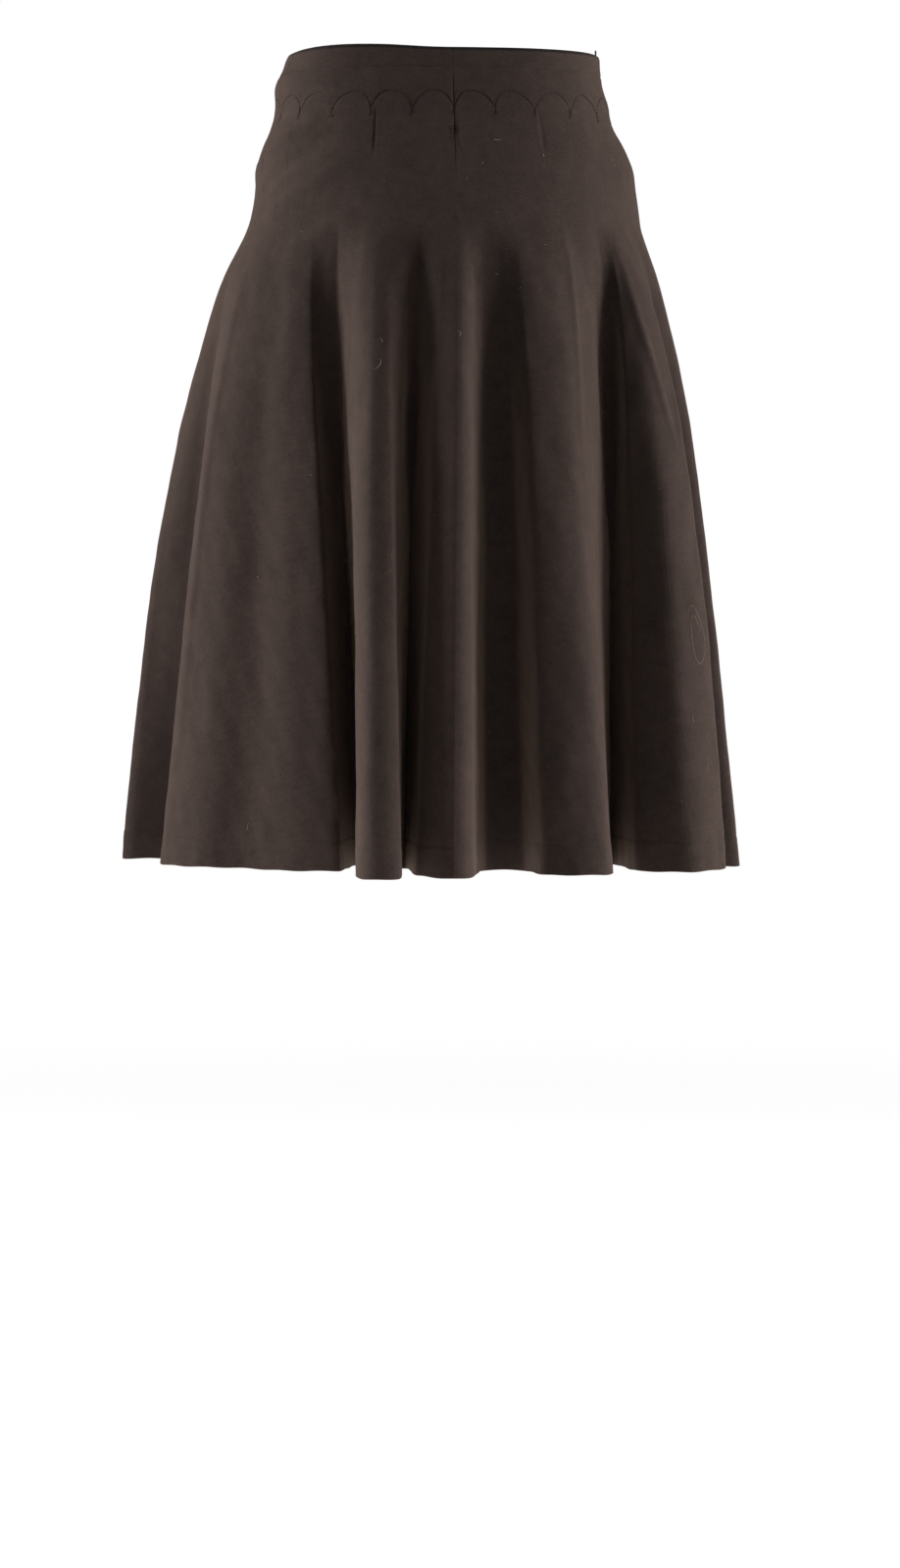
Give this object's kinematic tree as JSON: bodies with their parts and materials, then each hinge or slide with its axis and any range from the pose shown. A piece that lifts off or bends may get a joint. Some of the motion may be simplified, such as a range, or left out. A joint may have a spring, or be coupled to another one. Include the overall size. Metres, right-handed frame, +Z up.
{
  "type": "knit skirt",
  "caption": "Flared knit skirt as worn: narrow waistband, fitted yoke with a scalloped seam, and deep soft flutes from the hip to a wide hem, open at waist and hem.",
  "frame": {"origin": "centre of the waist opening, at the level of the top edge", "axes": "+Z up out of the waist, +Y towards the front, -Y towards the back with the centre back seam, +X towards the wearer's right"},
  "size_m": [0.4393, 0.3523, 0.5832],
  "materials": {
    "wool_knit": "fine dark brown wool knit with a slight nap",
    "ribbon": "narrow black satin ribbon"
  },
  "bodies": {
    "root": {"waistband": "wool_knit", "yoke_back_left": "wool_knit", "yoke_back_right": "wool_knit", "yoke_front": "wool_knit", "skirt_back_left": "wool_knit", "skirt_back_right": "wool_knit", "skirt_front": "wool_knit", "hanger_loop": "ribbon"}
  },
  "joints": []
}
